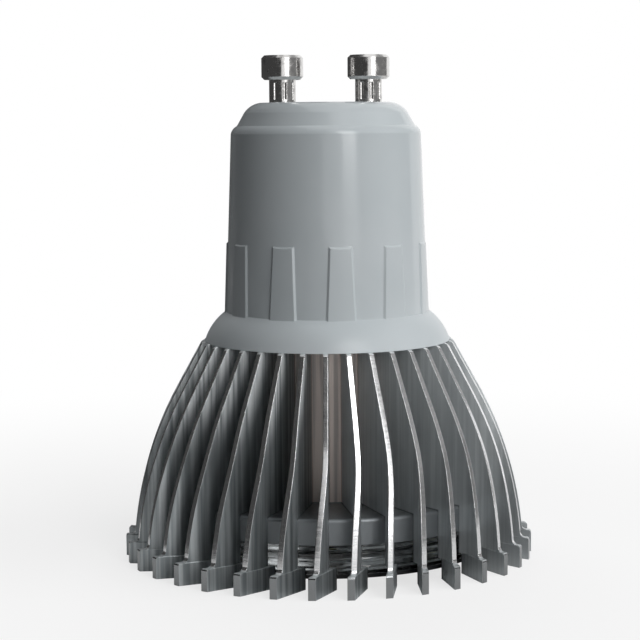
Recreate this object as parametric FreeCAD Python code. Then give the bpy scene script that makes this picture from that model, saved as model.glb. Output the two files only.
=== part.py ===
import FreeCAD, Part
import math
import os
from FreeCAD import Vector

# LED spotlight bulb with two contact pins, in millimetres.
# It stands pins up on the ends of its fins: z = 0 is that plane and the z axis is the lamp's own axis.

# Fins and rim of the heat sink
fin_count = 36
fin_thickness = 0.55
fin_angle = -1.0
rim_radius = 24.0
tab_height = 2.5
tab_thickness = 0.75
tab_corner = 0.25
tab_fillet = 0.5
hook_start = 19.8
hook_radius = 4.6
hook_turn = 26.0

# Bell that the fins are turned to: a cone at the top, then one long arc down to the rim
bell_slope = 29.0
bell_bend_radius = 17.8
bell_bend_height = 19.7
bell_arc_radius = 42.0
sink_top = 25.2
fin_top_round = 0.6

# Core of the heat sink: a plate that carries the light board, and a tube that holds the housing
plate_bottom = 6.4
plate_thickness = 1.4
core_radius = 11.0
core_bore_radius = 9.4
core_floor_thickness = 3.6
wire_hole_radius = 2.6
core_edge_round = 0.4
skirt_wall = 1.15

# White base housing
collar_radius = 14.4
collar_height = 3.45
collar_bulge = 0.36
neck_foot_radius = 11.85
neck_top_radius = 11.07
neck_headroom = 1.4
shoulder_radius = 10.35
shoulder_height = 0.9
shoulder_bulge = 0.13
cone_radius = 9.5
cone_height = 1.5
crown_radius = 7.7
crown_height = 1.15
crown_bulge = 0.22
housing_wall = 1.4
crown_wall = 2.0
spigot_wall = 1.3
spigot_clearance = 0.2
spigot_gap = 0.2
collar_wall = 1.6
pad_count = 11
pad_first_angle = 7.5
pad_height = 7.9
pad_top_width = 2.2
pad_foot_width = 2.9
pad_rise = 0.18

# Contact pins
pin_spacing = 10.0
pin_head_radius = 2.435
pin_head_height = 2.8
pin_head_chamfer = 0.32
pin_shank_radius = 1.55
pin_shank_length = 2.65
pin_neck_radius = 1.15
pin_neck_clearance = 0.05
pin_rivet_radius = 1.9
pin_rivet_height = 0.4
pin_bore_radius = 0.55
pin_cap_thickness = 1.2
pin_flute_count = 9
pin_flute_radius = 0.28
pin_flute_depth = 0.16
pin_flute_margin = 0.35

# Light side: thermal pad, board, diodes, lens and its ring
pad_sheet_thickness = 0.3
board_thickness = 1.1
board_clearance = 0.3
led_circle_radius = 8.0
led_count = 3
led_size = 3.5
led_height = 0.8
dome_radius = 1.3
lens_gap = 0.2
lens_radius = 19.15
lens_clearance = 0.3
lens_skirt = 1.1
lens_step = 0.9
lens_ring_seat = 1.6
lenslet_radius = 7.0
lenslet_bulge = 0.5
lens_pocket_radius = 2.8
lens_pocket_gap = 0.4
ring_thickness = 0.45
ring_width = 2.3
ring_ear_radius = 2.6
seat_clearance = 0.1

# Screws
screw_radius = 0.85
screw_hole_clearance = 0.05
screw_head_radius = 1.7
screw_head_height = 0.9
screw_slot_width = 0.4
screw_slot_depth = 0.4
lens_screw_inset = 3.75
lens_screw_depth = 1.0
housing_screw_circle = 6.2
housing_screw_grip = 5.0
boss_radius = 1.95
boss_height = 7.6

# Driver inside the housing
driver_width = 14.0
driver_thickness = 1.2
driver_face = -0.4
driver_height = 30.0
driver_gap = 0.1
rail_depth = 1.3
rail_thickness = 0.9
rail_length = 8.0
lead_radius = 0.35
led_lead_spacing = 3.0
lead_overlap = 2.6
lead_tail = 0.1
lead_hole_clearance = 0.2

# Parts on the driver board. A drop is measured from the board's top end down to the part's own lower end
transformer_width = 9.0
transformer_height = 8.0
transformer_drop = 19.0
transformer_leg = 2.6
transformer_limb = 1.1
transformer_yoke = 1.2
transformer_core_depth = 4.0
winding_depth = 6.4
winding_air = 0.1
smoothing_radius = 2.9
smoothing_height = 8.0
smoothing_drop = 10.0
output_radius = 2.0
coil_radius = 2.2
coil_wound_radius = 1.8
coil_flange = 0.7
low_part_height = 5.0
low_part_rise = 1.6
low_part_spread = 3.0
chip_width = 4.9
chip_height = 3.9
chip_depth = 1.5
chip_drop = 20.0
film_width = 7.0
film_height = 4.5
film_depth = 3.0
film_drop = 15.0
bridge_width = 4.8
bridge_height = 3.9
bridge_depth = 2.4
bridge_drop = 9.5
fuse_radius = 1.1
fuse_length = 6.0
fuse_drop = 2.8

parts = {}


def polar(radius, angle, z=0.0):
    """A point at an angle from the front of the lamp, turning towards its right side."""
    turn = math.radians(angle)
    return Vector(radius * math.sin(turn), -radius * math.cos(turn), z)


def bulged(start, end, bulge):
    """The middle of an arc that stands out by a bulge on the right of the way from start to end."""
    run_r = end[0] - start[0]
    run_z = end[1] - start[1]
    length = math.hypot(run_r, run_z)
    middle_r = (start[0] + end[0]) / 2 + bulge * run_z / length
    middle_z = (start[1] + end[1]) / 2 - bulge * run_r / length
    return (middle_r, middle_z)


def turned(*outline):
    """A solid turned from a closed outline of (r, z) corners. A pair of points is an arc: its middle and its end."""
    edges = []
    here = outline[0]
    for step in outline[1:] + (outline[0],):
        if isinstance(step[0], tuple):
            middle, end = step
            points = [Vector(p[0], 0, p[1]) for p in (here, middle, end)]
            edges.append(Part.Arc(*points).toShape())
        else:
            end = step
            if math.dist(here, end) > 1e-6:
                edges.append(Part.makeLine(Vector(here[0], 0, here[1]), Vector(end[0], 0, end[1])))
        here = end
    face = Part.Face(Part.Wire(edges))
    return face.revolve(Vector(0, 0, 0), Vector(0, 0, 1), 360)


def cylinder(radius, bottom, top, centre=Vector(0, 0, 0)):
    return Part.makeCylinder(radius, top - bottom, Vector(centre.x, centre.y, bottom))


def block(x_range, y_range, z_range):
    corner = Vector(x_range[0], y_range[0], z_range[0])
    return Part.makeBox(x_range[1] - x_range[0], y_range[1] - y_range[0], z_range[1] - z_range[0], corner)


def around(shape, count, first_angle=0.0):
    """Copies of a shape spaced evenly round the lamp's axis."""
    copies = []
    for index in range(count):
        copy = shape.copy()
        copy.rotate(Vector(0, 0, 0), Vector(0, 0, 1), first_angle + 360.0 * index / count)
        copies.append(copy)
    return copies


def round_edges(shape, radius, z, at_radius):
    """Round the circular edges that lie at one height and one radius."""
    chosen = []
    for edge in shape.Edges:
        box = edge.BoundBox
        if abs(box.ZMin - z) < 1e-4 and abs(box.ZMax - z) < 1e-4 and abs(box.XMax - at_radius) < 1e-4:
            chosen.append(edge)
    return shape.makeFillet(radius, chosen)


# Heights and radii that follow from the sizes above
bell_centre_radius = bell_bend_radius - bell_arc_radius * math.cos(math.radians(bell_slope))
bell_centre_height = bell_bend_height - bell_arc_radius * math.sin(math.radians(bell_slope))
fin_top_radius = bell_bend_radius - (sink_top - bell_bend_height) * math.tan(math.radians(bell_slope))
plate_top = plate_bottom + plate_thickness
core_floor_top = plate_bottom + core_floor_thickness
spigot_radius = core_bore_radius - spigot_clearance
spigot_bore = spigot_radius - spigot_wall
spigot_bottom = core_floor_top + spigot_gap
boss_top = spigot_bottom + boss_height
driver_bottom = boss_top + driver_gap
driver_top = driver_bottom + driver_height
driver_back = driver_face - driver_thickness
crease = sink_top + collar_height
neck_top = driver_top + neck_headroom
cone_foot = neck_top + shoulder_height
housing_top = cone_foot + cone_height + crown_height
lens_bore_radius = lens_radius + lens_clearance
skirt_bore = lens_bore_radius - skirt_wall
board_radius = skirt_bore - board_clearance
lens_screw_circle = lens_radius - lens_screw_inset
pad_sheet_bottom = plate_bottom - pad_sheet_thickness
board_bottom = pad_sheet_bottom - board_thickness
led_bottom = board_bottom - led_height
lens_top = board_bottom - lens_gap
skirt_bottom = lens_top + seat_clearance
ring_bottom = lens_ring_seat - ring_thickness
led_angles = [360.0 * index / led_count for index in range(led_count)]
screw_angles = [angle + 180.0 / led_count for angle in led_angles]
screw_hole_radius = screw_radius + screw_hole_clearance


def bell_radius(height):
    """Radius of the long arc of the bell at a height below its bend."""
    return bell_centre_radius + math.sqrt(bell_arc_radius ** 2 - (height - bell_centre_height) ** 2)


# Finned heat sink: extruded fin, cut to the turned bell, repeated round the core
def fin_plan(turn, inner_end):
    """Plan of one fin along +X: radial from the core, then bent by the hook at its tip."""
    half = fin_thickness / 2
    bend = math.radians(turn)
    along = Vector(math.cos(bend), -math.sin(bend), 0)
    across = Vector(math.sin(bend), math.cos(bend), 0)
    half_across = Vector(math.sin(bend / 2), math.cos(bend / 2), 0)
    pivot = Vector(hook_start, -hook_radius, 0)
    bend_end = pivot + across * hook_radius
    tip = bend_end + along * (rim_radius - hook_start)
    upper = hook_radius + half
    lower = hook_radius - half
    edges = [
        Part.makeLine(Vector(inner_end, half, 0), Vector(hook_start, half, 0)),
        Part.Arc(Vector(hook_start, half, 0), pivot + half_across * upper, pivot + across * upper).toShape(),
        Part.makeLine(pivot + across * upper, tip + across * half),
        Part.makeLine(tip + across * half, tip - across * half),
        Part.makeLine(tip - across * half, pivot + across * lower),
        Part.Arc(pivot + across * lower, pivot + half_across * lower, Vector(hook_start, -half, 0)).toShape(),
        Part.makeLine(Vector(hook_start, -half, 0), Vector(inner_end, -half, 0)),
        Part.makeLine(Vector(inner_end, -half, 0), Vector(inner_end, half, 0)),
    ]
    return Part.Face(Part.Wire(edges))


def tab_plan():
    """Plan of the tab under one fin: a thicker strip in line with the hooked tip, carried straight on inwards."""
    bend = math.radians(hook_turn)
    along = Vector(math.cos(bend), -math.sin(bend), 0)
    across = Vector(math.sin(bend), math.cos(bend), 0)
    bend_end = Vector(hook_start, -hook_radius, 0) + across * hook_radius
    outer = bend_end + along * (rim_radius - hook_start)
    inner = bend_end - along * (rim_radius - hook_start)
    side = across * (tab_thickness / 2)
    return Part.Face(Part.makePolygon([inner - side, outer - side, outer + side, inner + side, inner - side]))


def fin_envelope():
    """The turned shape that trims every fin above its tab."""
    foot = (bell_radius(tab_height), tab_height)
    bend = (bell_bend_radius, bell_bend_height)
    half_height = (tab_height + bell_bend_height) / 2
    middle = (bell_radius(half_height), half_height)
    bell = turned((0, tab_height), foot, (middle, bend), (fin_top_radius, sink_top), (0, sink_top))
    return round_edges(bell, fin_top_round, sink_top, fin_top_radius)


def tab_ring():
    """The ring that trims every tab: outside at the rim, inside clear of the lens."""
    ring = turned((lens_bore_radius, 0), (rim_radius, 0), (rim_radius, tab_height), (lens_bore_radius, tab_height))
    return round_edges(ring, tab_corner, tab_height, rim_radius)


def step_fillet():
    """The small curve where the turned fin steps out to its tab."""
    foot = bell_radius(tab_height)
    low = (foot + tab_fillet, tab_height)
    high = (bell_radius(tab_height + tab_fillet), tab_height + tab_fillet)
    cut = tab_fillet * (1 - math.sqrt(0.5))
    middle = (foot + cut, tab_height + cut)
    inside = (foot - tab_fillet, tab_height)
    return turned(inside, low, (middle, high), (foot - tab_fillet, tab_height + tab_fillet))


def make_fin():
    body = fin_plan(hook_turn, core_radius - fin_thickness).extrude(Vector(0, 0, sink_top))
    lens_space = cylinder(lens_bore_radius, -1, plate_bottom)
    envelope = fin_envelope().fuse(step_fillet())
    body = body.common(envelope).cut(lens_space)
    tab = tab_plan().extrude(Vector(0, 0, tab_height)).common(tab_ring())
    return body.fuse(tab).removeSplitter()


def make_core():
    core = turned(
        (0, plate_bottom),
        (skirt_bore, plate_bottom),
        (skirt_bore, skirt_bottom),
        (lens_bore_radius, skirt_bottom),
        (lens_bore_radius, plate_top),
        (core_radius, plate_top),
        (core_radius, sink_top),
        (core_bore_radius, sink_top),
        (core_bore_radius, core_floor_top),
        (0, core_floor_top),
    )
    return round_edges(core, core_edge_round, plate_top, lens_bore_radius)


def make_heat_sink():
    fins = around(make_fin(), fin_count, fin_angle - 90.0)
    sink = make_core().multiFuse(fins)
    holes = [cylinder(wire_hole_radius, plate_bottom, core_floor_top)]
    head_room = screw_head_radius + screw_hole_clearance * 2
    for angle in screw_angles:
        centre = polar(housing_screw_circle, angle)
        holes.append(cylinder(screw_hole_radius, plate_bottom, core_floor_top, centre))
        holes.append(cylinder(head_room, plate_bottom, plate_bottom + screw_head_height + seat_clearance, centre))
        outer = polar(lens_screw_circle, angle)
        holes.append(cylinder(screw_hole_radius, plate_bottom, plate_bottom + lens_screw_depth, outer))
    return sink.cut(Part.makeCompound(holes)).removeSplitter()


# White housing: one turned shell with pads on its neck, bosses and rails inside, and holes for the pins
def housing_shell():
    foot = (neck_foot_radius, crease)
    collar = (collar_radius, sink_top)
    neck = (neck_top_radius, neck_top)
    shoulder = (shoulder_radius, cone_foot)
    cone_top = (cone_radius, cone_foot + cone_height)
    crown = (crown_radius, housing_top)
    inner_top = housing_top - crown_wall
    return turned(
        (spigot_bore, spigot_bottom),
        (spigot_radius, spigot_bottom),
        (spigot_radius, sink_top),
        collar,
        (bulged(collar, foot, collar_bulge), foot),
        neck,
        (bulged(neck, shoulder, shoulder_bulge), shoulder),
        cone_top,
        (bulged(cone_top, crown, crown_bulge), crown),
        (0, housing_top),
        (0, inner_top),
        (crown_radius, inner_top),
        (neck_top_radius - housing_wall, neck_top - housing_wall / 2),
        (neck_foot_radius - housing_wall, crease + collar_wall),
        (spigot_bore, sink_top + collar_wall),
    )


def pad_section(depth, foot_face, top_face):
    """Outline of one pad at a depth from the axis. Its sides and top lean inwards as it stands out."""
    half_foot = pad_foot_width / 2 + foot_face - depth
    half_top = pad_top_width / 2 + top_face - depth
    foot = crease - pad_rise * 2
    top = crease + pad_height + top_face - depth
    corners = [(-half_foot, foot), (half_foot, foot), (half_top, top), (-half_top, top), (-half_foot, foot)]
    return Part.makePolygon([Vector(x, -depth, z) for x, z in corners])


def housing_pads():
    """Raised pads with leaning sides, wider at the foot, that run down the neck into the collar."""
    top = crease + pad_height
    foot = crease - pad_rise * 2
    neck_slope = (neck_foot_radius - neck_top_radius) / (neck_top - crease)
    top_face = neck_foot_radius - neck_slope * pad_height + pad_rise
    foot_face = neck_foot_radius + pad_rise
    reach = top + housing_wall
    under = top_face - housing_wall / 2
    skin = turned(
        (under, foot),
        (foot_face + neck_slope * pad_rise * 2, foot),
        (top_face - neck_slope * housing_wall, reach),
        (under, reach),
    )
    sections = [pad_section(depth, foot_face, top_face) for depth in (under, foot_face + pad_rise)]
    wedge = Part.makeLoft(sections, True, True)
    return around(wedge.common(skin), pad_count, pad_first_angle)


def housing_bosses():
    bosses = []
    for angle in screw_angles:
        bosses.append(cylinder(boss_radius, spigot_bottom, boss_top, polar(housing_screw_circle, angle)))
    return bosses


def housing_rails():
    """Two rails on each side, which hold the driver board by its edges."""
    rails = []
    inner = driver_width / 2 - rail_depth / 2
    wall = spigot_bore + spigot_wall / 2
    fronts = (driver_face + driver_gap, driver_back - driver_gap - rail_thickness)
    for front in fronts:
        for side in (-1, 1):
            across = sorted((side * inner, side * wall))
            depth = (front, front + rail_thickness)
            rails.append(block(across, depth, (driver_bottom, driver_bottom + rail_length)))
    return rails


def make_housing():
    reach = Part.makeCylinder(spigot_radius, housing_top, Vector(0, 0, 0))
    inside = [piece.common(reach) for piece in housing_bosses() + housing_rails()]
    housing = housing_shell().multiFuse(housing_pads() + inside)
    holes = []
    for side in (-1, 1):
        centre = Vector(side * pin_spacing / 2, 0, 0)
        holes.append(cylinder(pin_neck_radius + pin_neck_clearance, housing_top - crown_wall, housing_top, centre))
    for angle in screw_angles:
        centre = polar(housing_screw_circle, angle)
        depth = spigot_bottom + housing_screw_grip + screw_hole_clearance * 4
        holes.append(cylinder(screw_hole_radius, spigot_bottom, depth, centre))
    return housing.cut(Part.makeCompound(holes)).removeSplitter()


# Contact pins: turned brass, hollow from below for the lead, riveted through the crown
def make_pin(side):
    inner_top = housing_top - crown_wall
    shank_top = housing_top + pin_shank_length
    head_top = shank_top + pin_head_height
    pin = turned(
        (pin_bore_radius, inner_top - pin_rivet_height),
        (pin_rivet_radius, inner_top - pin_rivet_height),
        (pin_rivet_radius, inner_top),
        (pin_neck_radius, inner_top),
        (pin_neck_radius, housing_top),
        (pin_shank_radius, housing_top),
        (pin_shank_radius, shank_top),
        (pin_head_radius - pin_head_chamfer, shank_top),
        (pin_head_radius, shank_top + pin_head_chamfer),
        (pin_head_radius, head_top - pin_head_chamfer),
        (pin_head_radius - pin_head_chamfer, head_top),
        (0, head_top),
        (0, head_top - pin_cap_thickness),
        (pin_bore_radius, head_top - pin_cap_thickness),
    )
    flute_centre = Vector(pin_shank_radius + pin_flute_radius - pin_flute_depth, 0, 0)
    flute = cylinder(pin_flute_radius, housing_top + pin_flute_margin, shank_top - pin_flute_margin, flute_centre)
    pin = pin.cut(Part.makeCompound(around(flute, pin_flute_count)))
    pin.translate(Vector(side * pin_spacing / 2, 0, 0))
    return pin


# Light side of the lamp
def screw(centre, head_bottom, head_top, tip):
    """A slotted screw that points up: its head faces the light side."""
    body = cylinder(screw_head_radius, head_bottom, head_top, centre)
    body = body.fuse(cylinder(screw_radius, head_top, tip, centre))
    reach = screw_head_radius + screw_hole_clearance
    slot = block(
        (centre.x - reach, centre.x + reach),
        (centre.y - screw_slot_width / 2, centre.y + screw_slot_width / 2),
        (head_bottom, head_bottom + screw_slot_depth),
    )
    return body.cut(slot)


def holed_disc(radius, bottom, top, holes):
    return cylinder(radius, bottom, top).cut(Part.makeCompound(holes))


def screw_holes(bottom, top, circle, radius):
    return [cylinder(radius, bottom, top, polar(circle, angle)) for angle in screw_angles]


def make_thermal_pad():
    span = (pad_sheet_bottom, plate_bottom)
    holes = [cylinder(wire_hole_radius, *span)]
    holes += screw_holes(*span, lens_screw_circle, screw_hole_radius)
    holes += screw_holes(*span, housing_screw_circle, screw_head_radius)
    return holed_disc(board_radius, *span, holes)


def make_led_board():
    span = (board_bottom, pad_sheet_bottom)
    holes = screw_holes(*span, lens_screw_circle, screw_hole_radius)
    for side in (-1, 1):
        centre = Vector(side * led_lead_spacing / 2, 0, 0)
        holes.append(cylinder(lead_radius + lead_hole_clearance, *span, centre))
    return holed_disc(board_radius, *span, holes)


def make_led(angle):
    half = led_size / 2
    package = block((-half, half), (-half - led_circle_radius, half - led_circle_radius), (led_bottom, board_bottom))
    package.rotate(Vector(0, 0, 0), Vector(0, 0, 1), angle)
    return package


def make_dome(angle):
    dome = Part.makeSphere(dome_radius, polar(led_circle_radius, angle, led_bottom))
    return dome.common(cylinder(rim_radius, led_bottom - dome_radius * 2, led_bottom))


def make_lens():
    """Clear lens: a stepped disc with three shallow lenslets below and a pocket over each diode."""
    lens = turned(
        (0, lens_ring_seat),
        (lens_radius, lens_ring_seat),
        (lens_radius, lens_top - lens_step),
        (lens_radius - lens_skirt, lens_top - lens_step),
        (lens_radius - lens_skirt, lens_top),
        (0, lens_top),
    )
    cap_radius = (lenslet_radius ** 2 + lenslet_bulge ** 2) / (2 * lenslet_bulge)
    for angle in led_angles:
        centre = polar(led_circle_radius, angle)
        ball = Part.makeSphere(cap_radius, Vector(centre.x, centre.y, lens_ring_seat - lenslet_bulge + cap_radius))
        keep = cylinder(lenslet_radius, lens_ring_seat - lenslet_bulge * 2, lens_ring_seat, centre)
        lens = lens.fuse(ball.common(keep))
    pocket_bottom = led_bottom - dome_radius - lens_pocket_gap
    cuts = [cylinder(lens_pocket_radius, pocket_bottom, lens_top, polar(led_circle_radius, a)) for a in led_angles]
    cuts += screw_holes(lens_ring_seat, lens_top, lens_screw_circle, screw_hole_radius)
    return lens.cut(Part.makeCompound(cuts)).removeSplitter()


def make_lens_ring():
    """Thin black ring with three ears, screwed up through the lens and the board into the plate."""
    span = (ring_bottom, lens_ring_seat)
    ring = cylinder(lens_radius, *span).cut(cylinder(lens_radius - ring_width, *span))
    ears = screw_holes(*span, lens_screw_circle, ring_ear_radius)
    ring = ring.multiFuse(ears)
    holes = screw_holes(*span, lens_screw_circle, screw_hole_radius)
    return ring.cut(Part.makeCompound(holes)).removeSplitter()


def make_lens_screws():
    tip = plate_bottom + lens_screw_depth - seat_clearance
    head_bottom = ring_bottom - screw_head_height
    screws = [screw(polar(lens_screw_circle, a), head_bottom, ring_bottom, tip) for a in screw_angles]
    return Part.makeCompound(screws)


def make_housing_screws():
    head_top = plate_bottom + screw_head_height + seat_clearance
    head_bottom = head_top - screw_head_height
    tip = spigot_bottom + housing_screw_grip
    screws = [screw(polar(housing_screw_circle, a), head_bottom, head_top, tip) for a in screw_angles]
    return Part.makeCompound(screws)


# Driver board and what is soldered to it. The front face looks towards +Y, the back towards -Y
def front_range(depth):
    start = driver_face + driver_gap / 2
    return (start, start + depth)


def back_range(depth):
    start = driver_back - driver_gap / 2
    return (start - depth, start)


def make_driver_board():
    return block((-driver_width / 2, driver_width / 2), (driver_back, driver_face), (driver_bottom, driver_top))


def make_transformer():
    """Ferrite core with two windows, and the winding round its middle leg."""
    bottom = driver_top - transformer_drop
    leg_half = transformer_leg / 2
    near, far = front_range(winding_depth)
    middle = (near + far) / 2
    core_y = (middle - transformer_core_depth / 2, middle + transformer_core_depth / 2)
    window_z = (bottom + transformer_yoke, bottom + transformer_height - transformer_yoke)
    core = block((-transformer_width / 2, transformer_width / 2), core_y, (bottom, bottom + transformer_height))
    for side in (-1, 1):
        across = sorted((side * leg_half, side * (transformer_width / 2 - transformer_limb)))
        core = core.cut(block(across, core_y, window_z))
    coil_half = transformer_width / 2 - transformer_limb - winding_air
    coil_z = (window_z[0] + winding_air, window_z[1] - winding_air)
    winding = block((-coil_half, coil_half), (near, far), coil_z)
    winding = winding.makeFillet(leg_half, [e for e in winding.Edges if e.BoundBox.ZLength > winding_air * 9])
    hole_x = (-leg_half - winding_air, leg_half + winding_air)
    hole_y = (core_y[0] - winding_air, core_y[1] + winding_air)
    return core, winding.cut(block(hole_x, hole_y, coil_z))


def upright_can(radius, height, x, side, bottom):
    """A capacitor can that stands along the board, with its rolled edge rounded."""
    near, far = front_range(radius * 2) if side > 0 else back_range(radius * 2)
    can = cylinder(radius, bottom, bottom + height, Vector(x, (near + far) / 2, 0))
    return can.makeFillet(radius / 8, [e for e in can.Edges if e.BoundBox.ZLength < 1e-6])


def lying_rod(radius, length, x, height):
    """A round part that lies across the back of the board."""
    near, far = back_range(radius * 2)
    rod = Part.makeCylinder(radius, length, Vector(x - length / 2, (near + far) / 2, height), Vector(1, 0, 0))
    return rod.makeFillet(radius / 3, [e for e in rod.Edges if e.BoundBox.XLength < 1e-6])


def make_filter_coil():
    """Drum coil: two flanges with the winding between them."""
    bottom = driver_bottom + low_part_rise
    top = bottom + low_part_height
    near, far = back_range(coil_radius * 2)
    drum = turned(
        (0, bottom),
        (coil_radius, bottom),
        (coil_radius, bottom + coil_flange),
        (coil_wound_radius, bottom + coil_flange),
        (coil_wound_radius, top - coil_flange),
        (coil_radius, top - coil_flange),
        (coil_radius, top),
        (0, top),
    )
    drum.translate(Vector(low_part_spread, (near + far) / 2, 0))
    return drum


def back_box(width, height, depth, drop):
    """A boxed part on the back of the board."""
    bottom = driver_top - drop
    return block((-width / 2, width / 2), back_range(depth), (bottom, bottom + height))


def lead(x, bottom, top):
    return cylinder(lead_radius, bottom, top, Vector(x, 0, 0))


parts["heat_sink"] = make_heat_sink()
parts["base_housing"] = make_housing()
for name, side in (("left", -1), ("right", 1)):
    parts["contact_pin_" + name] = make_pin(side)
    pin_bore_top = housing_top + pin_shank_length + pin_head_height - pin_cap_thickness
    parts["pin_lead_" + name] = lead(side * pin_spacing / 2, driver_top - lead_overlap, pin_bore_top - seat_clearance)
for name, side in (("negative", -1), ("positive", 1)):
    lead_end = board_bottom - lead_tail
    parts["led_lead_" + name] = lead(side * led_lead_spacing / 2, lead_end, driver_bottom + lead_overlap)
parts["thermal_pad"] = make_thermal_pad()
parts["led_board"] = make_led_board()
for number, angle in enumerate(led_angles, 1):
    parts["led_" + str(number)] = make_led(angle)
    parts["led_dome_" + str(number)] = make_dome(angle)
parts["lens"] = make_lens()
parts["lens_ring"] = make_lens_ring()
parts["lens_screws"] = make_lens_screws()
parts["housing_screws"] = make_housing_screws()
parts["driver_board"] = make_driver_board()
parts["transformer_core"], parts["transformer_winding"] = make_transformer()
low_bottom = driver_bottom + low_part_rise
parts["smoothing_capacitor"] = upright_can(smoothing_radius, smoothing_height, 0.0, 1, driver_top - smoothing_drop)
parts["output_capacitor"] = upright_can(output_radius, low_part_height, -low_part_spread, -1, low_bottom)
parts["filter_coil"] = make_filter_coil()
parts["driver_chip"] = back_box(chip_width, chip_height, chip_depth, chip_drop)
parts["film_capacitor"] = back_box(film_width, film_height, film_depth, film_drop)
parts["bridge_rectifier"] = back_box(bridge_width, bridge_height, bridge_depth, bridge_drop)
parts["fuse_resistor"] = lying_rod(fuse_radius, fuse_length, 0.0, driver_top - fuse_drop)

os.makedirs("parts", exist_ok=True)
for node, shape in parts.items():
    shape.exportStep("parts/" + node + ".step")
    print(node, len(shape.Solids), round(shape.Volume, 2), shape.isValid())
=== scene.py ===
import math

import bmesh
import bpy
from mathutils import Euler, Matrix, Vector

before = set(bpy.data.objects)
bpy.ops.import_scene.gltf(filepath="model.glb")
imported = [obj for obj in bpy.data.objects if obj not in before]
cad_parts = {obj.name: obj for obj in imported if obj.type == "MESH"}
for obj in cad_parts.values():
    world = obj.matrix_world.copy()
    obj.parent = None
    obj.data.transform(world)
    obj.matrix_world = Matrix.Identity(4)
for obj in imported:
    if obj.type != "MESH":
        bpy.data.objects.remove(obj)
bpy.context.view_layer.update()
mm = 0.001


# Heat sink: one piece of bare aluminium. Its fins were cut along the axis, which leaves fine upright streaks on
# their broad faces, and then turned to a bell, which leaves bright tool rings on their outer edges.
tab_top = 2.5 * mm
plate_top = 7.8 * mm
tube_radius = 11 * mm
skirt_radius = 19.5 * mm
cone_radius_at_foot = 28.7 * mm
cone_slope = 0.554
# Painted shade and painted light: a darker and a lighter copy of the fins' streaked tone, one for each side.
painted_shade_streaks = (0.24, 0.265, 0.275), (0.48, 0.51, 0.52)
painted_light_streaks = (0.62, 0.65, 0.66), (0.76, 0.79, 0.8)
clouded_grey = (0.36, 0.385, 0.4)
# Painted highlight, for a band high on the darker sides of the fins.
painted_sheen_tone = (0.9, 0.93, 0.94)
warm_tube_streaks = (0.36, 0.325, 0.31), (0.68, 0.6, 0.555)
shaded_skirt = (0.2, 0.215, 0.225)
turned_rings = (0.74, 0.75, 0.76), (0.86, 0.86, 0.86)
dark_specks = (0.35, 0.36, 0.37)
dull_tab_end = (0.3, 0.31, 0.315)


class Field:
    """A value that varies over a surface. Its arithmetic adds Math nodes to the tree that it belongs to."""

    def __init__(self, owner, socket):
        self.owner = owner
        self.socket = socket

    def _math(self, operation, first, second):
        return self.owner.node("ShaderNodeMath", {"operation": operation}, {0: first, 1: second})

    def __add__(self, other):
        return self._math("ADD", self, other)

    def __sub__(self, other):
        return self._math("SUBTRACT", self, other)

    def __rsub__(self, other):
        return self._math("SUBTRACT", other, self)

    def __mul__(self, other):
        return self._math("MULTIPLY", self, other)

    def __pow__(self, other):
        return self._math("POWER", self, other)

    __radd__ = __add__
    __rmul__ = __mul__


class Nodes:
    """A node tree, with one way to add a node to it."""

    def __init__(self, tree):
        self.tree = tree

    def node(self, kind, settings, inputs, output=0):
        """Add a node: its settings first, then its inputs as values or fields. Gives one of its outputs."""
        made = self.tree.nodes.new(kind)
        for label, value in settings.items():
            setattr(made, label, value)
        for label, value in inputs.items():
            if isinstance(value, Field):
                self.tree.links.new(value.socket, made.inputs[label])
            else:
                made.inputs[label].default_value = value
        return Field(self, made.outputs[output])

    def larger(self, first, second):
        """The larger of two values."""
        return self.node("ShaderNodeMath", {"operation": "MAXIMUM"}, {0: first, 1: second})

    def mix(self, factor, first, second):
        """Mix two colours."""
        colors = [c if isinstance(c, Field) else (*c, 1.0) for c in (first, second)]
        inputs = {"Factor": factor, 6: colors[0], 7: colors[1]}
        return self.node("ShaderNodeMix", {"data_type": "RGBA"}, inputs, 2)

    def sees_white(self, for_camera=1.0, for_gloss=1.0):
        """How white camera rays see this, and rays that metal or glass sends on. 0 for any other ray."""
        kinds = ("Is Camera Ray", "Is Glossy Ray", "Is Transmission Ray")
        camera, glossy, through = [self.node("ShaderNodeLightPath", {}, {}, kind) for kind in kinds]
        return self.larger(camera * for_camera, self.larger(glossy, through) * for_gloss)


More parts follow.
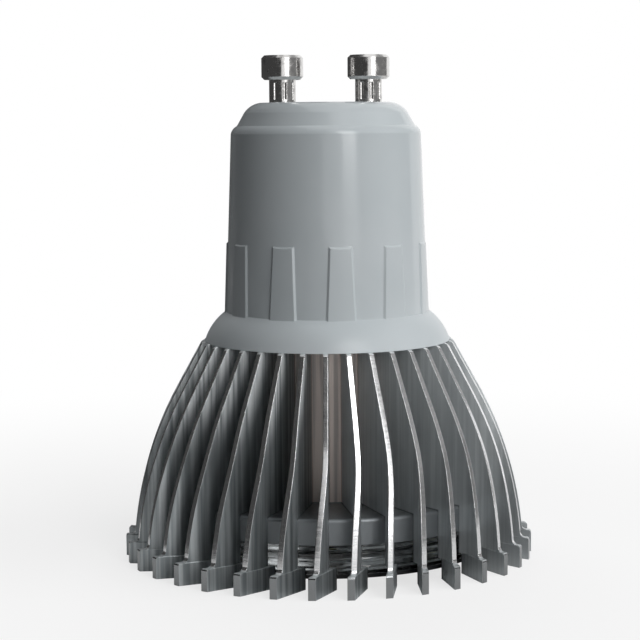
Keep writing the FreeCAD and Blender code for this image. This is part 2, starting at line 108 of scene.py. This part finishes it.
class Finish(Nodes):
    """A named material, made from one Principled shader and the nodes that vary it."""

    def __init__(self, name, color, roughness, metallic=0.0, **constants):
        self.material = bpy.data.materials.new(name)
        self.material.use_nodes = True
        super().__init__(self.material.node_tree)
        self.shader = self.tree.nodes["Principled BSDF"]
        self.shader.inputs["Base Color"].default_value = (*color, 1.0)
        self.shader.inputs["Roughness"].default_value = roughness
        self.shader.inputs["Metallic"].default_value = metallic
        for label, value in constants.items():
            self.shader.inputs[label.replace("_", " ").title().replace("Ior", "IOR")].default_value = value
        self.place = self.node("ShaderNodeTexCoord", {}, {}, "Object")

    def feed(self, label, field):
        """Let a field vary one of the shader's inputs."""
        self.tree.links.new(field.socket, self.shader.inputs[label])

    def noise(self, scale, detail=2.0, stretch=(1.0, 1.0, 1.0), roughness=0.5):
        """Smooth noise from 0 to 1, in waves per metre. A stretch below 1 draws it out along that axis."""
        place = self.node("ShaderNodeMapping", {}, {"Vector": self.place, "Scale": stretch})
        inputs = {"Vector": place, "Scale": scale, "Detail": detail, "Roughness": roughness}
        return self.node("ShaderNodeTexNoise", {}, inputs, "Fac")

    def step(self, field, low, high, start=0.0, end=1.0):
        """Map a field smoothly from low..high to start..end."""
        inputs = {"Value": field, "From Min": low, "From Max": high, "To Min": start, "To Max": end}
        return self.node("ShaderNodeMapRange", {"interpolation_type": "SMOOTHSTEP"}, inputs)

    def past(self, field, edge, blur):
        """0 up to an edge, and 1 from a blur's width past it."""
        return self.step(field, edge, edge + blur)

    def bump(self, height, distance, strength=1.0, corner=0.0):
        """Raise the surface by a field. A corner above 0 catches the light as if rounded by that radius."""
        inputs = {"Height": height, "Distance": distance, "Strength": strength}
        if corner > 0:
            inputs["Normal"] = self.node("ShaderNodeBevel", {"samples": 6}, {"Radius": corner})
        self.feed("Normal", self.node("ShaderNodeBump", {}, inputs))

    def axis(self, letter):
        """The X, Y or Z of a point of the piece, in metres. Z is its height."""
        return self.node("ShaderNodeSeparateXYZ", {}, {"Vector": self.place}, letter)

    def radius(self):
        """How far a point of the piece lies from the lamp's axis, in metres."""
        x = self.axis("X")
        y = self.axis("Y")
        return (x * x + y * y) ** 0.5

    def facing(self):
        """How far the surface faces away from the lamp's axis, and how far round it, each from -1 to 1."""
        x = self.axis("X")
        y = self.axis("Y")
        normal = self.node("ShaderNodeNewGeometry", {}, {}, "Normal")
        turns = []
        for across, along in ((x, y), (0 - y, x)):
            flat = self.node("ShaderNodeCombineXYZ", {}, {"X": across, "Y": along, "Z": 0.0})
            way = self.node("ShaderNodeVectorMath", {"operation": "NORMALIZE"}, {0: flat}, "Vector")
            pair = {0: normal, 1: way}
            turns.append(self.node("ShaderNodeVectorMath", {"operation": "DOT_PRODUCT"}, pair, "Value"))
        return turns


def dress(node, finish):
    """Give a carried-over node its finish."""
    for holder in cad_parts[node].material_slots:
        holder.material = finish.material


def aluminium():
    finish = Finish("aluminium", (0.45, 0.48, 0.49), 0.38, metallic=1.0)
    radius = finish.radius()
    height = finish.axis("Z")
    outward, sideways = finish.facing()

    # The turned edges face outwards, on the fins alone. One side of each fin is painted darker, as painted
    # shade, and the other lighter, as painted light. The darker side has a painted highlight in a band along the
    # bell's cone, which would be 28.7 mm in radius if it reached down to the foot.
    beyond_skirt = finish.past(radius, skirt_radius, 0.1 * mm)
    above_plate = finish.past(height, plate_top + 0.1 * mm, 0.1 * mm)
    off_tube = finish.past(radius, tube_radius + mm, 0.5 * mm)
    turned = finish.past(outward, 0.62, 0.18) * finish.larger(beyond_skirt, above_plate * off_tube)
    # Painted shade: the fins' sides that face one way round are darker, and the other sides are painted light.
    painted_shade_side = finish.past(sideways, -0.5, 1.0)
    inside_cone = radius - (cone_radius_at_foot - height * cone_slope)
    # Painted highlight: a lighter band high on the darker sides, just inside the bell's cone.
    painted_sheen = finish.past(inside_cone, -3.2 * mm, 2.8 * mm) * finish.past(height, 13 * mm, 7 * mm) * painted_shade_side
    on_tube = 1 - finish.past(radius, tube_radius + 0.1 * mm, 0.3 * mm)
    on_skirt = (1 - finish.past(height, plate_top + 0.05 * mm, 0.1 * mm)) * (1 - beyond_skirt)
    on_tab = 1 - finish.past(height, tab_top - 0.05 * mm, 0.1 * mm)

    # Upright streaks from the cut, faint clouds, small dark specks, and the tool's rings round the bell.
    streaks = finish.noise(1900, 3.0, (1.0, 1.0, 0.02))
    clouds = finish.noise(120, 3.0, (1.0, 1.0, 0.6))
    specks = finish.step(finish.noise(5200), 0.62, 0.7, 0.0, 0.35)
    rings = finish.noise(5000, 2.0, (0.05, 0.05, 1.2), 0.6)

    streaked = finish.step(streaks, 0.35, 0.65)
    face = finish.mix(painted_shade_side, finish.mix(streaked, *painted_light_streaks), finish.mix(streaked, *painted_shade_streaks))
    face = finish.mix(finish.step(clouds, 0.4, 0.75, 0.0, 0.5), face, clouded_grey)
    face = finish.mix(painted_sheen * finish.step(streaks, 0.3, 0.6), face, painted_sheen_tone)
    face = finish.mix(on_tube, face, finish.mix(finish.step(streaks, 0.38, 0.62), *warm_tube_streaks))
    face = finish.mix(on_skirt, face, shaded_skirt)
    edge = finish.mix(finish.step(rings, 0.35, 0.65), *turned_rings)
    edge = finish.mix(specks, edge, dark_specks)
    edge = finish.mix(on_tab, edge, dull_tab_end)
    finish.feed("Base Color", finish.mix(turned, face, edge))

    # The streaks scatter part of the light, so the faces aren't fully metallic. They are less metallic on the
    # painted-light side and in the painted highlight, which lightens these further.
    face_metal = painted_shade_side * 0.36 + 0.38 - painted_sheen * 0.3
    finish.feed("Metallic", face_metal + (1 - face_metal) * turned)
    face_rough = finish.step(streaks, 0.25, 0.75, 0.36, 0.44)
    edge_rough = finish.step(rings, 0.3, 0.7, 0.14, 0.2)
    finish.feed("Roughness", face_rough + (edge_rough - face_rough) * turned)
    finish.bump(streaks * (1 - turned) + rings * turned * 0.12, 0.03 * mm, 0.6, corner=0.1 * mm)
    return finish


dress("heat_sink", aluminium())


# Base housing: one moulding of white plastic with a satin gloss, duller on its collar. The collar sits on the
# fins, and a spigot inside the sink's tube carries the driver. The pads stand a little proud of the neck.
collar_top = 28.65 * mm
greyed_whites = (0.5, 0.545, 0.565), (0.53, 0.57, 0.59)


def white_plastic():
    finish = Finish("white_plastic", (0.52, 0.56, 0.58), 0.14)
    clouds = finish.noise(90, 3.0)
    on_collar = 1 - finish.past(finish.axis("Z"), collar_top - 0.15 * mm, 0.3 * mm)
    finish.feed("Base Color", finish.mix(finish.step(clouds, 0.35, 0.7), *greyed_whites))
    finish.feed("Roughness", finish.step(clouds, 0.3, 0.7, 0.12, 0.16) + on_collar * 0.2)
    finish.bump(finish.noise(4200, 3.0), 0.01 * mm, 0.25, corner=0.12 * mm)
    return finish


dress("base_housing", white_plastic())


# Contact pins: turned brass with bright plating, a little worn. Each is hollow for its lead and riveted through
# the crown.
plating = (0.72, 0.71, 0.7)
worn_plating = (0.36, 0.35, 0.34)


def bright_nickel():
    finish = Finish("bright_nickel", (0.7, 0.69, 0.68), 0.16, metallic=1.0)
    rings = finish.noise(3600, 2.0, (0.1, 0.1, 1.4), 0.6)
    wear = finish.noise(1500, 4.0)
    finish.feed("Base Color", finish.mix(finish.step(wear, 0.52, 0.72, 0.0, 0.7), plating, worn_plating))
    finish.feed("Roughness", finish.step(wear, 0.35, 0.7, 0.12, 0.3))
    finish.bump(rings * 0.6 + wear * 0.4, 0.02 * mm, 0.4, corner=0.1 * mm)
    return finish


nickel = bright_nickel()
dress("contact_pin_left", nickel)
dress("contact_pin_right", nickel)


# Lens: one clear moulding, held up to the board by a thin black ring with three screws. Fine moulded ridges run
# round its side.
ridge_heights = (2.3 * mm, 3.2 * mm, 4.3 * mm)
ridge_flank = 0.25 * mm


def clear_plastic():
    # Painted shade: the clear plastic is tinted grey, to darken it as its dark surroundings would.
    finish = Finish("clear_plastic", (0.6, 0.63, 0.64), 0.04, transmission_weight=1.0, ior=1.49)
    finish.feed("Roughness", finish.step(finish.noise(900, 3.0), 0.4, 0.75, 0.1, 0.2))
    height = finish.axis("Z")
    ridges = 0.0
    for ridge in ridge_heights:
        below = finish.step(height, ridge - ridge_flank, ridge)
        above = finish.step(height, ridge + ridge_flank, ridge)
        ridges = below * above + ridges
    finish.bump(ridges, 0.08 * mm, 1.0, corner=0.12 * mm)
    return finish


def plain_finish(name, light, dark, roughness, metallic=0.0, scale=700, depth=0.01, **constants):
    """A small part's finish: two close tones in soft patches, with a fine grain. Its depth is in mm."""
    finish = Finish(name, light, roughness, metallic=metallic, **constants)
    patches = finish.noise(scale, 3.0)
    finish.feed("Base Color", finish.mix(finish.step(patches, 0.35, 0.7), light, dark))
    finish.feed("Roughness", finish.step(patches, 0.3, 0.7, roughness * 0.85, min(1.0, roughness * 1.2)))
    finish.bump(finish.noise(scale * 6), depth * mm, 0.4)
    return finish


dress("lens", clear_plastic())
dress("lens_ring", plain_finish("black_plastic", (0.022, 0.022, 0.024), (0.012, 0.012, 0.013), 0.45))
steel = plain_finish("screw_steel", (0.5, 0.5, 0.49), (0.34, 0.34, 0.33), 0.3, metallic=1.0)
dress("lens_screws", steel)
dress("housing_screws", steel)


# Light board: a white coated aluminium disc on a soft grey pad, with three white packages under yellow domes.
# The lens ring's screws hold it up against the sink's plate.
dress("led_board", plain_finish("white_board", (0.8, 0.8, 0.78), (0.72, 0.72, 0.69), 0.4))
dress("thermal_pad", plain_finish("pad_grey", (0.33, 0.34, 0.36), (0.26, 0.27, 0.29), 0.8))
package = plain_finish("led_package", (0.82, 0.82, 0.78), (0.74, 0.74, 0.69), 0.35, scale=1500)
dome = plain_finish("led_dome", (0.84, 0.78, 0.5), (0.78, 0.7, 0.4), 0.12, scale=1500, coat_weight=0.8)
for number in "123":
    dress("led_" + number, package)
    dress("led_dome_" + number, dome)


# Driver: a green board held by its edges in the spigot's rails, with its parts soldered to both faces. The leads
# run straight up into the hollow pins, and straight down through the sink's floor to the light board.
dress("driver_board", plain_finish("green_board", (0.03, 0.2, 0.07), (0.02, 0.14, 0.05), 0.35))
ferrite = plain_finish("ferrite", (0.055, 0.055, 0.06), (0.035, 0.035, 0.038), 0.6)
dress("transformer_core", ferrite)
dress("filter_coil", ferrite)
dress("transformer_winding", plain_finish("yellow_tape", (0.8, 0.6, 0.08), (0.72, 0.5, 0.06), 0.3))
sleeve = plain_finish("can_sleeve", (0.03, 0.05, 0.12), (0.02, 0.035, 0.09), 0.25)
dress("smoothing_capacitor", sleeve)
dress("output_capacitor", sleeve)
dress("film_capacitor", plain_finish("film_yellow", (0.75, 0.5, 0.05), (0.66, 0.42, 0.04), 0.35))
epoxy = plain_finish("black_epoxy", (0.03, 0.03, 0.03), (0.018, 0.018, 0.018), 0.55)
dress("bridge_rectifier", epoxy)
dress("driver_chip", epoxy)
dress("fuse_resistor", plain_finish("resistor_body", (0.35, 0.5, 0.52), (0.3, 0.43, 0.45), 0.35))
dress("led_lead_positive", plain_finish("lead_red", (0.55, 0.03, 0.03), (0.45, 0.02, 0.02), 0.35))
dress("led_lead_negative", plain_finish("lead_black", (0.022, 0.022, 0.022), (0.014, 0.014, 0.014), 0.4))
white_lead = plain_finish("lead_white", (0.7, 0.7, 0.7), (0.62, 0.62, 0.62), 0.4)
dress("pin_lead_left", white_lead)
dress("pin_lead_right", white_lead)


# Floor and backdrop: pale paper under and behind the lamp, which the camera, metal and glass see as white.
# Neither sends much light back to the object.
white = (1.0, 1.0, 1.0)
dim_sky = (0.035, 0.036, 0.038)
pale_paper = (0.85, 0.85, 0.85)
paper_for_bounce = (0.24, 0.24, 0.24)


def studio_sheet(name, size, material, centre=(0, 0, 0), turn=(0, 0, 0)):
    """A flat sheet of the set, made in place: a floor or a card. Sizes and places are in metres."""
    mesh = bpy.data.meshes.new(name)
    shape = bmesh.new()
    place = Matrix.Translation(centre) @ Euler(turn).to_matrix().to_4x4() @ Matrix.Diagonal((*size, 1, 1))
    bmesh.ops.create_grid(shape, x_segments=1, y_segments=1, size=0.5, matrix=place)
    shape.to_mesh(mesh)
    shape.free()
    mesh.materials.append(material)
    sheet = bpy.data.objects.new(name, mesh)
    bpy.context.collection.objects.link(sheet)
    return sheet


def floor_paper():
    """Paper that shows white, with the object's shadow close to it."""
    paper = Finish("floor_paper", (0.9, 0.9, 0.9), 0.9)
    radius = paper.radius()
    bounce = paper.node("ShaderNodeLightPath", {}, {}, "Is Diffuse Ray")
    paper.feed("Base Color", paper.mix(bounce, pale_paper, paper_for_bounce))
    glow = paper.node("ShaderNodeEmission", {}, {"Strength": 1.0})
    whiteness = paper.sees_white(paper.step(radius, 0.02, 0.14, 0.72, 1.0), paper.step(radius, 0.05, 0.4))
    inputs = {0: whiteness, 1: Field(paper, paper.shader.outputs[0]), 2: glow}
    both = paper.node("ShaderNodeMixShader", {}, inputs)
    paper.tree.links.new(both.socket, paper.tree.nodes["Material Output"].inputs["Surface"])
    return paper.material


studio_sheet("floor", (6, 6), floor_paper())
world = bpy.data.worlds.new("studio")
bpy.context.scene.world = world
world.use_nodes = True
sky = Nodes(world.node_tree)
sky_color = sky.mix(sky.sees_white(), dim_sky, white)
world.node_tree.links.new(sky_color.socket, world.node_tree.nodes["Background"].inputs["Color"])


# Cards: plain sheets round the lamp that only metal, gloss and glass see. The dark ones shade its left, and the
# grey ones temper its right. Each has its brightness, its size, its centre and its turn.
dark = 0.05
upright = math.pi / 2
cards = {
    "left_card": (dark, (1.6, 1.6), (-0.3, 0.2, 0.5), (upright, 0, upright)),
    "back_card": (dark, (0.123, 0.35), (-0.059, 0.16, 0.025), (upright, 0, 0)),
    "front_card": (dark, (0.36, 1.5), (-0.13, -0.42, 0.5), (upright, 0, 0)),
    "left_flat_card": (dark, (0.49, 0.85), (-0.275, -0.075, 0.002), (0, 0, 0)),
    "right_low_card": (0.2, (0.75, 0.3), (0.44, -0.09, 0.03), (upright, 0, math.radians(78))),
    "right_high_card": (0.34, (1.0, 1.2), (0.475, 0.1, 0.78), (upright, 0, math.radians(82))),
    "front_low_card": (0.9, (0.1, 0.28), (0.02, -0.4, 0.14), (upright, 0, 0)),
}
for name, (brightness, size, centre, turn) in cards.items():
    glow = {"emission_color": (*white, 1.0), "emission_strength": brightness}
    cloth = Finish(name + "_cloth", (0, 0, 0), 1.0, **glow)
    card = studio_sheet(name, size, cloth.material, centre, turn)
    card.visible_camera = False
    card.visible_diffuse = False
    card.visible_shadow = False


# Lamps: a narrow key lamp at the front right, which also shows as the bright line on gloss, and wide soft ones
# at the right, above and behind, which don't show in it.
lamp_target = Vector((0.0, 0.0, 35 * mm))


def lamp(name, size, watts, place, seen_in_gloss):
    """A soft lamp, wide by high in metres, that looks at the middle of the object."""
    data = bpy.data.lights.new(name, "AREA")
    data.shape = "RECTANGLE"
    data.size, data.size_y = size
    data.energy = watts
    made = bpy.data.objects.new(name, data)
    made.location = place
    made.rotation_euler = (lamp_target - made.location).to_track_quat("-Z", "Y").to_euler()
    made.visible_glossy = seen_in_gloss
    made.visible_transmission = seen_in_gloss
    bpy.context.collection.objects.link(made)


lamp("key_lamp", (0.14, 0.4), 0.8, (0.19, -0.37, 0.25), seen_in_gloss=True)
lamp("side_lamp", (0.8, 0.8), 4.6, (0.6, -0.25, 0.42), seen_in_gloss=False)
lamp("top_lamp", (0.2, 0.2), 0.3, (-0.04, 0.0, 0.6), seen_in_gloss=False)
lamp("back_lamp", (0.8, 0.5), 3.5, (-0.15, 0.62, 0.25), seen_in_gloss=False)
bpy.context.scene.view_settings.view_transform = "Standard"


# Camera: close to the lamp, level with the top of its neck, looking down a little, as in the photograph. Its
# place is in millimetres from the middle of the lamp's foot.
camera_data = bpy.data.cameras.new("camera")
camera_data.lens = 101.25
camera_data.sensor_width = 36.0
camera_data.clip_start = 0.001
camera = bpy.data.objects.new("camera", camera_data)
camera_place = Vector((-0.84, -210.8, 50.5)) * mm
camera_pitch = math.radians(6.25)
camera_roll = math.radians(-0.43)
look = Matrix.Rotation(math.pi / 2 - camera_pitch, 4, "X") @ Matrix.Rotation(camera_roll, 4, "Z")
camera.matrix_world = Matrix.Translation(camera_place) @ look
bpy.context.collection.objects.link(camera)
bpy.context.scene.camera = camera
